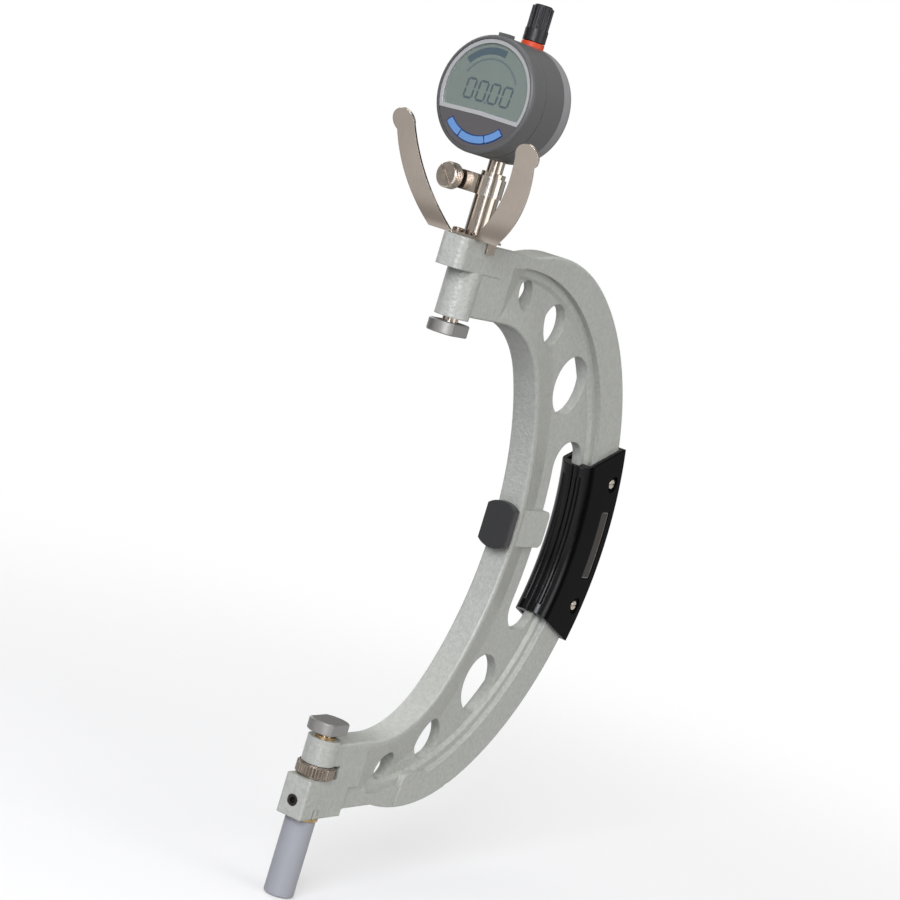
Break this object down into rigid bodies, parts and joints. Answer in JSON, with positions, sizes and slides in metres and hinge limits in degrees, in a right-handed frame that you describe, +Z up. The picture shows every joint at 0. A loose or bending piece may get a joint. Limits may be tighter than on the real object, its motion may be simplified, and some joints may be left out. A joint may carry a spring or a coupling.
{
  "type": "dial snap gauge",
  "caption": "Hand-held snap gauge: cast C-frame with a sprung upper anvil, nut-adjusted lower anvil, back stop, moulded grip, wire-free digital indicator and bent guard.",
  "frame": {"origin": "on the measuring axis, half way between the two anvil faces, in the middle of the frame's thickness", "axes": "+Z up the measuring axis towards the indicator, +X from the measuring axis towards the grip, +Y through the frame's thickness towards its hidden side"},
  "size_m": [0.2592, 0.0834, 0.4563],
  "materials": {
    "frame_paint": "hammertone enamel",
    "anvil_steel": "satin ground",
    "spindle_chrome": "polished",
    "nut_nickel": "nickel plated, knurled",
    "bush_brass": "turned",
    "tube_enamel": "matte blue-grey enamel",
    "black_steel": "black oxide",
    "guard_nickel": "nickel plated sheet",
    "strap_chrome": "plated",
    "grip_gloss": "gloss moulding",
    "stop_black": "hard moulding",
    "screw_steel": "plated",
    "housing_plastic": "fine grain",
    "cover_plastic": "fine grain",
    "silver_plastic": "silver metallised",
    "window_clear": "clear",
    "lcd_green": "greenish grey display",
    "keypad_grey": "fine grain",
    "button_blue": "satin",
    "knob_black": "ribbed moulding",
    "seal_orange": "matte",
    "board_green": "lacquered",
    "battery_steel": "plated"
  },
  "bodies": {
    "gauge_frame": {"frame": "frame_paint", "lower_bush": "bush_brass", "upper_bush": "bush_brass", "upper_key": "black_steel", "lower_key": "black_steel", "lock_shoe": "bush_brass", "cover_tube": "tube_enamel", "tube_ring": "bush_brass", "tube_cap": "tube_enamel", "grip_front": "grip_gloss", "grip_rear": "grip_gloss", "grip_screws": "screw_steel", "grip_nuts": "screw_steel", "indicator_sleeve": "spindle_chrome", "clamp_strap": "strap_chrome", "clamp_nut": "nut_nickel", "guard_bracket": "guard_nickel", "guard_screws": "black_steel"},
    "sprung_anvil": {"upper_spindle": "spindle_chrome", "upper_anvil": "anvil_steel"},
    "adjusting_nut": {"adjusting_nut": "nut_nickel"},
    "adjustable_anvil": {"lower_spindle": "spindle_chrome", "lower_anvil": "anvil_steel"},
    "lock_screw": {"lock_screw": "black_steel"},
    "back_stop": {"stop_pad": "stop_black", "stop_stem": "spindle_chrome"},
    "stop_screw": {"stop_screw": "black_steel"},
    "thumb_screw": {"thumb_screw": "nut_nickel"},
    "indicator": {"main_case": "housing_plastic", "rear_cover": "cover_plastic", "cover_screws": "screw_steel", "stem": "spindle_chrome", "top_bush": "bush_brass", "seal_ring": "seal_orange"},
    "plunger": {"plunger": "spindle_chrome", "contact_point": "spindle_chrome", "lifting_knob": "knob_black"},
    "display_unit": {"front_housing": "housing_plastic", "swivel_ring": "spindle_chrome", "lcd_frame": "silver_plastic", "lcd_window": "window_clear", "lcd_panel": "lcd_green", "keypad_panel": "keypad_grey", "circuit_board": "board_green", "battery": "battery_steel"},
    "button_left": {"button_left": "button_blue"},
    "button_middle": {"button_middle": "button_blue"},
    "button_right": {"button_right": "button_blue"}
  },
  "joints": [
    {"name": "upper_anvil_slide", "type": "slide", "parent": "gauge_frame", "child": "sprung_anvil", "axis": [0, 0, 1], "range_m": [0, 0.002], "stiffness_N_per_m": 1200, "springref_m": -0.002},
    {"name": "nut_turn", "type": "hinge", "parent": "gauge_frame", "child": "adjusting_nut", "pos_m": [0, 0, -0.1259], "axis": [0, 0, -1], "range_deg": [0, 7200]},
    {"name": "lower_anvil_slide", "type": "slide", "parent": "gauge_frame", "child": "adjustable_anvil", "axis": [0, 0, 1], "range_m": [0, 0.025]},
    {"name": "lock_screw_turn", "type": "hinge", "parent": "gauge_frame", "child": "lock_screw", "pos_m": [-0.01, 0, -0.1415], "axis": [-1, 0, 0], "range_deg": [0, 180]},
    {"name": "back_stop_slide", "type": "slide", "parent": "gauge_frame", "child": "back_stop", "axis": [-1, 0, 0], "range_m": [0, 0.02]},
    {"name": "stop_screw_turn", "type": "hinge", "parent": "gauge_frame", "child": "stop_screw", "pos_m": [0.1226, 0.0053, 0.0048], "axis": [0, 1, 0], "range_deg": [0, 180]},
    {"name": "thumb_screw_turn", "type": "hinge", "parent": "gauge_frame", "child": "thumb_screw", "pos_m": [0.00382, 0.02167, 0.1739], "axis": [-0.9848, 0.1736, 0], "range_deg": [0, 360]},
    {"name": "indicator_swivel", "type": "hinge", "parent": "gauge_frame", "child": "indicator", "pos_m": [0, 0, 0.17], "axis": [0, 0, 1], "continuous": true},
    {"name": "plunger_slide", "type": "slide", "parent": "indicator", "child": "plunger", "axis": [0, 0, 1], "range_m": [0, 0.002], "stiffness_N_per_m": 150, "springref_m": -0.01},
    {"name": "display_turn", "type": "hinge", "parent": "indicator", "child": "display_unit", "pos_m": [-0.01987, 0.00226, 0.2153], "axis": [-0.9936, 0.1132, 0], "range_deg": [-135, 135]},
    {"name": "button_left_press", "type": "slide", "parent": "display_unit", "child": "button_left", "axis": [0.9936, -0.1132, 0], "range_m": [0, 0.0004], "stiffness_N_per_m": 1500, "springref_m": -0.0005},
    {"name": "button_middle_press", "type": "slide", "parent": "display_unit", "child": "button_middle", "axis": [0.9936, -0.1132, 0], "range_m": [0, 0.0004], "stiffness_N_per_m": 1500, "springref_m": -0.0005},
    {"name": "button_right_press", "type": "slide", "parent": "display_unit", "child": "button_right", "axis": [0.9936, -0.1132, 0], "range_m": [0, 0.0004], "stiffness_N_per_m": 1500, "springref_m": -0.0005}
  ],
  "couplings": [
    {"joint": "nut_turn", "follows": "lower_anvil_slide", "rad_per_m": 5026.5},
    {"joint": "plunger_slide", "follows": "upper_anvil_slide", "ratio": 1}
  ]
}
